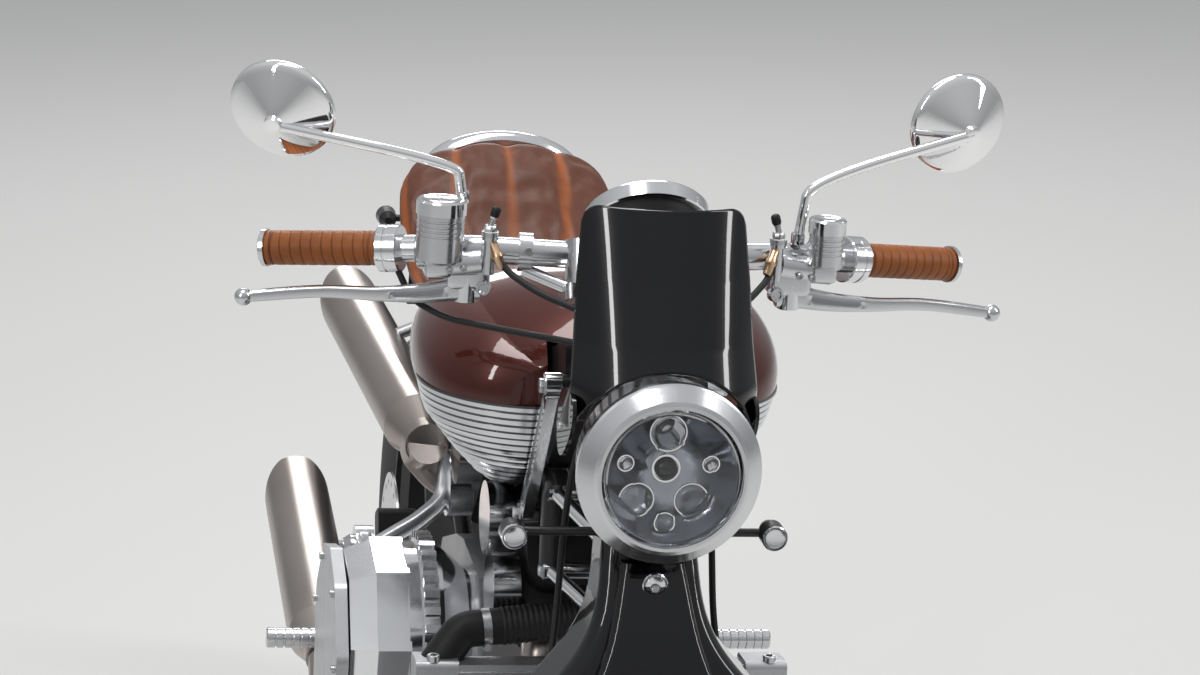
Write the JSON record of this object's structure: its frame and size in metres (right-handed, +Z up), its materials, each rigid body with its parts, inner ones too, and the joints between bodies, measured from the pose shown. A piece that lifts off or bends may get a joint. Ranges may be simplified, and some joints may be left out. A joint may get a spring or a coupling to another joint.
{
  "type": "cafe racer motorcycle",
  "caption": "Vee-twin cafe racer with a girder fork, round headlight in a flyscreen, saddle tank, humped seat and stacked silencers, leaning on its side stand.",
  "frame": {"origin": "bottom centre of the parked bike's box, on the floor", "axes": "+Y from nose to tail, +X to the rider's left, +Z up; the bike leans 4 degrees towards +X"},
  "size_m": [0.8628, 2.178, 1.251],
  "materials": {
    "tyre_rubber": "matt",
    "wheel_metal": "satin black",
    "disc_steel": "ground",
    "black_gloss": "gloss",
    "black_frame": "satin",
    "polished_aluminium": "polished",
    "satin_aluminium": "satin",
    "cast_aluminium": "cast",
    "engine_black": "matt",
    "steel": "plain",
    "exhaust_metal": "heat tinted",
    "chrome": "mirror",
    "mirror_glass": "mirror",
    "clear_lens": "clear",
    "lamp_inner": "bright",
    "tank_paint": "gloss",
    "seat_leather": "leather",
    "grip_leather": "wrapped",
    "black_rubber": "matt",
    "red_lens": "clear red"
  },
  "bodies": {
    "chassis": {"frame": "black_frame", "front_struts": "polished_aluminium", "wishbones": "polished_aluminium", "shocks": "black_frame", "crankcase": "cast_aluminium", "cylinders": "engine_black", "cam_covers": "polished_aluminium", "clutch_drum": "polished_aluminium", "side_cover": "cast_aluminium", "radiator": "cast_aluminium", "coolant_hose": "black_rubber", "header_pipes": "exhaust_metal", "silencers": "exhaust_metal", "silencer_brackets": "steel", "tank_upper": "tank_paint", "tank_lower": "satin_aluminium", "fuel_cap": "satin_aluminium", "seat_pad": "seat_leather", "tail_cowl": "satin_aluminium", "tail_light": "red_lens", "plate_holder": "black_frame", "swingarm": "satin_aluminium", "rear_axle": "steel", "rear_caliper": "engine_black", "chain": "steel", "footrests": "satin_aluminium"},
    "front_wheel": {"front_tyre": "tyre_rubber", "front_rim": "wheel_metal", "front_discs": "disc_steel"},
    "rear_wheel": {"rear_tyre": "tyre_rubber", "rear_rim": "wheel_metal", "rear_disc": "disc_steel", "rear_sprocket": "disc_steel"},
    "steering": {"fork_upright": "black_gloss", "front_mudguard": "black_gloss", "front_axle": "steel", "front_calipers": "engine_black", "steering_stem": "satin_aluminium", "handlebar": "satin_aluminium", "grips": "grip_leather", "hand_controls": "satin_aluminium", "mirrors": "chrome", "mirror_glasses": "mirror_glass", "headlight_shell": "satin_aluminium", "headlight_bezel": "satin_aluminium", "headlight_lens": "clear_lens", "headlight_reflector": "lamp_inner", "cowl": "black_gloss", "instrument": "satin_aluminium", "front_signals": "black_frame", "control_hoses": "black_rubber"},
    "side_stand": {"side_stand": "steel"}
  },
  "joints": [
    {"name": "steering_turn", "type": "hinge", "parent": "chassis", "child": "steering", "pos_m": [-0.01969, -0.48363, 0.8482], "axis": [0.0635, 0.4147, 0.9077], "range_deg": [-28, 28]},
    {"name": "front_wheel_spin", "type": "hinge", "parent": "steering", "child": "front_wheel", "pos_m": [-0.05715, -0.776, 0.31251], "axis": [0.9976, 0, -0.0698], "continuous": true},
    {"name": "rear_wheel_spin", "type": "hinge", "parent": "chassis", "child": "rear_wheel", "pos_m": [-0.05631, 0.764, 0.32448], "axis": [0.9976, 0, -0.0698], "continuous": true},
    {"name": "side_stand_fold", "type": "hinge", "parent": "chassis", "child": "side_stand", "pos_m": [0.05701, 0.024, 0.2534], "axis": [0.9613, 0, 0.2756], "range_deg": [0, 95]}
  ]
}
